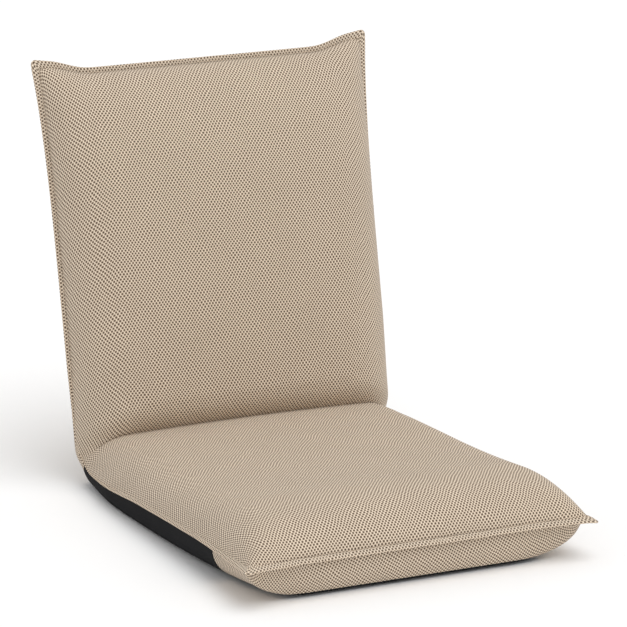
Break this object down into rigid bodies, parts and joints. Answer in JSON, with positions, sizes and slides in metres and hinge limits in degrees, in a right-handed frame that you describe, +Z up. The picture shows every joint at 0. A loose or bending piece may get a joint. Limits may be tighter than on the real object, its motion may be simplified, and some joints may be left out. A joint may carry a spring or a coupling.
{
  "type": "folding floor chair",
  "caption": "Legless floor chair with a padded mesh seat and a padded back that reclines and folds on ratchet side hinges.",
  "frame": {"origin": "middle of the bounding box's underside, on the floor plane, as the chair stands open", "axes": "+Z up, -Y the way the sitter faces, +X to the sitter's left"},
  "size_m": [0.437, 0.6148, 0.4991],
  "materials": {
    "frame_steel": "satin",
    "zinc_steel": "satin",
    "hardened_steel": "satin",
    "rivet_steel": "satin",
    "spring_steel": "satin",
    "elastic_strap": "matte",
    "foam": "matte",
    "mesh_cover": "matte",
    "seam_binding": "matte",
    "base_cloth": "matte"
  },
  "bodies": {
    "seat": {"seat_frame_tube": "frame_steel", "seat_cross_bar": "frame_steel", "seat_strap_1": "elastic_strap", "seat_strap_2": "elastic_strap", "seat_strap_3": "elastic_strap", "seat_strap_4": "elastic_strap", "seat_tube_rivets": "rivet_steel", "hinge_outer_plate_left": "zinc_steel", "hinge_inner_plate_left": "zinc_steel", "hinge_seat_tang_left": "zinc_steel", "hinge_pivot_left": "rivet_steel", "pawl_pin_left": "rivet_steel", "spring_post_left": "rivet_steel", "pawl_spring_left": "spring_steel", "hinge_outer_plate_right": "zinc_steel", "hinge_inner_plate_right": "zinc_steel", "hinge_seat_tang_right": "zinc_steel", "hinge_pivot_right": "rivet_steel", "pawl_pin_right": "rivet_steel", "spring_post_right": "rivet_steel", "pawl_spring_right": "spring_steel", "seat_foam_upper": "foam", "seat_foam_lower": "foam", "seat_top_cover": "mesh_cover", "seat_front_wrap": "mesh_cover", "seat_base_cloth": "base_cloth", "seat_seam_lip": "seam_binding"},
    "backrest": {"back_frame_tube": "frame_steel", "back_cross_bar": "frame_steel", "back_strap_1": "elastic_strap", "back_strap_2": "elastic_strap", "back_strap_3": "elastic_strap", "back_strap_4": "elastic_strap", "back_tube_rivets": "rivet_steel", "ratchet_plate_left": "hardened_steel", "ratchet_plate_right": "hardened_steel", "back_foam_front": "foam", "back_foam_rear": "foam", "back_front_cover": "mesh_cover", "back_rear_cover": "mesh_cover", "back_seam_lip": "seam_binding", "heel_cover": "mesh_cover", "heel_foam": "foam"},
    "pawl_left": {"pawl_left": "hardened_steel"},
    "pawl_right": {"pawl_right": "hardened_steel"}
  },
  "joints": [
    {"name": "backrest_hinge", "type": "hinge", "parent": "seat", "child": "backrest", "pos_m": [0, 0.19694, 0.03], "axis": [-1, 0, 0], "range_deg": [-78, 78], "deforming": ["seat_foam_upper", "seat_top_cover", "back_foam_front", "back_front_cover", "heel_foam", "heel_cover"]},
    {"name": "pawl_left_pivot", "type": "hinge", "parent": "seat", "child": "pawl_left", "pos_m": [0.178, 0.17294, 0.013], "axis": [-1, 0, 0], "range_deg": [0, 8], "stiffness_Nm_per_rad": 0.05, "springref_deg": -5.73, "deforming": ["pawl_spring_left"]},
    {"name": "pawl_right_pivot", "type": "hinge", "parent": "seat", "child": "pawl_right", "pos_m": [-0.178, 0.17294, 0.013], "axis": [-1, 0, 0], "range_deg": [0, 8], "stiffness_Nm_per_rad": 0.05, "springref_deg": -5.73, "deforming": ["pawl_spring_right"]}
  ]
}
